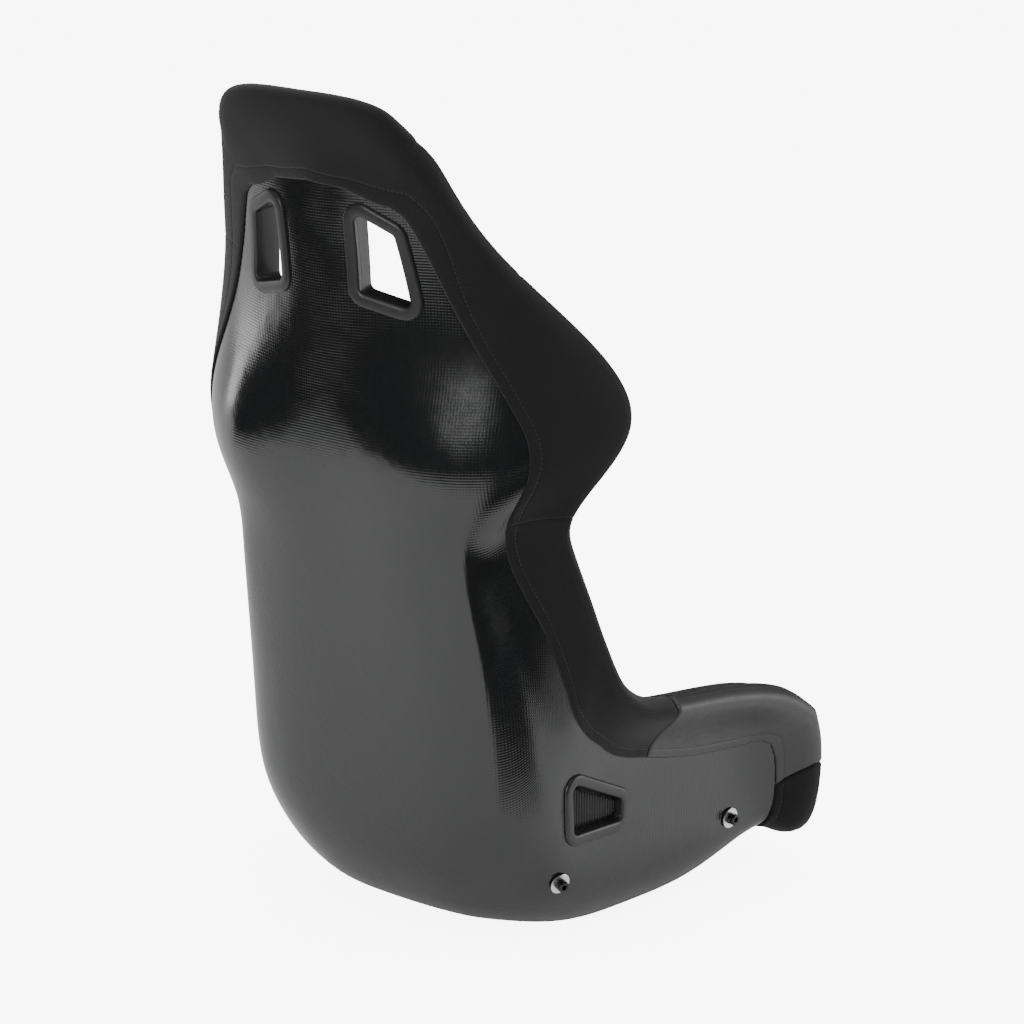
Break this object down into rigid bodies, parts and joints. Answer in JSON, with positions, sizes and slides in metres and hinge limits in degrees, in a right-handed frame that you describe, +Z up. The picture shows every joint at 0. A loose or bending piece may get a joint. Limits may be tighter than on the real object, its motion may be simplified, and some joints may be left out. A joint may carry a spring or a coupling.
{
  "type": "racing bucket seat",
  "caption": "Fixed-back bucket seat: glossy laminated shell, padded head, wing, torso and leg bolsters, harness slots and lift-out cushions.",
  "frame": {"origin": "middle of the flat underside of the shell, on the plane that the seat rests on", "axes": "+Z up, -Y the way the occupant faces, +X to the occupant's left; x = 0 is the middle plane"},
  "size_m": [0.5742, 0.6088, 0.9462],
  "materials": {
    "gelcoat_laminate": "glossy black gelcoat over woven glass laminate, faint weave print-through",
    "knit_fabric": "fine black knit, matt",
    "spacer_mesh": "black spacer mesh with an even dot pattern",
    "leatherette": "dark grey leatherette, satin grain",
    "moulded_plastic": "black injection-moulded plastic, fine satin texture",
    "black_steel": "black oxide steel",
    "zinc_steel": "bright zinc plate",
    "hook_and_loop": "black hook-and-loop tape"
  },
  "bodies": {
    "shell_body": {"shell": "gelcoat_laminate", "headrest_cover": "knit_fabric", "wing_cover_left": "knit_fabric", "wing_cover_right": "knit_fabric", "torso_bolster_left": "knit_fabric", "torso_bolster_right": "knit_fabric", "leg_bolster_left": "leatherette", "leg_bolster_right": "leatherette", "knee_roll": "knit_fabric", "thigh_pad": "knit_fabric", "shoulder_pad": "knit_fabric", "head_pad": "spacer_mesh", "squab_grip_strip_left": "hook_and_loop", "squab_grip_strip_right": "hook_and_loop", "back_grip_strip_left": "hook_and_loop", "back_grip_strip_right": "hook_and_loop", "harness_bezel_rear_left": "moulded_plastic", "harness_bezel_rear_right": "moulded_plastic", "harness_bezel_front_left": "moulded_plastic", "harness_bezel_front_right": "moulded_plastic", "side_slot_bezel_left": "moulded_plastic", "side_slot_bezel_right": "moulded_plastic", "side_slot_blank_left": "moulded_plastic", "side_slot_blank_right": "moulded_plastic", "crotch_slot_bezel": "moulded_plastic", "mount_washer_front_left": "zinc_steel", "mount_washer_front_right": "zinc_steel", "mount_screw_front_left": "black_steel", "mount_screw_front_right": "black_steel", "mount_insert_front_left": "zinc_steel", "mount_insert_front_right": "zinc_steel", "mount_washer_rear_left": "zinc_steel", "mount_washer_rear_right": "zinc_steel", "mount_screw_rear_left": "black_steel", "mount_screw_rear_right": "black_steel", "mount_insert_rear_left": "zinc_steel", "mount_insert_rear_right": "zinc_steel"},
    "squab": {"seat_squab": "spacer_mesh"},
    "back_cushion": {"back_pad": "spacer_mesh"}
  },
  "joints": [
    {"name": "squab_lift", "type": "slide", "parent": "shell_body", "child": "squab", "axis": [0, 0, 1], "range_m": [0, 0.2]},
    {"name": "back_pad_lift", "type": "slide", "parent": "shell_body", "child": "back_cushion", "axis": [0, -0.64, 0.7684], "range_m": [0, 0.4]}
  ]
}
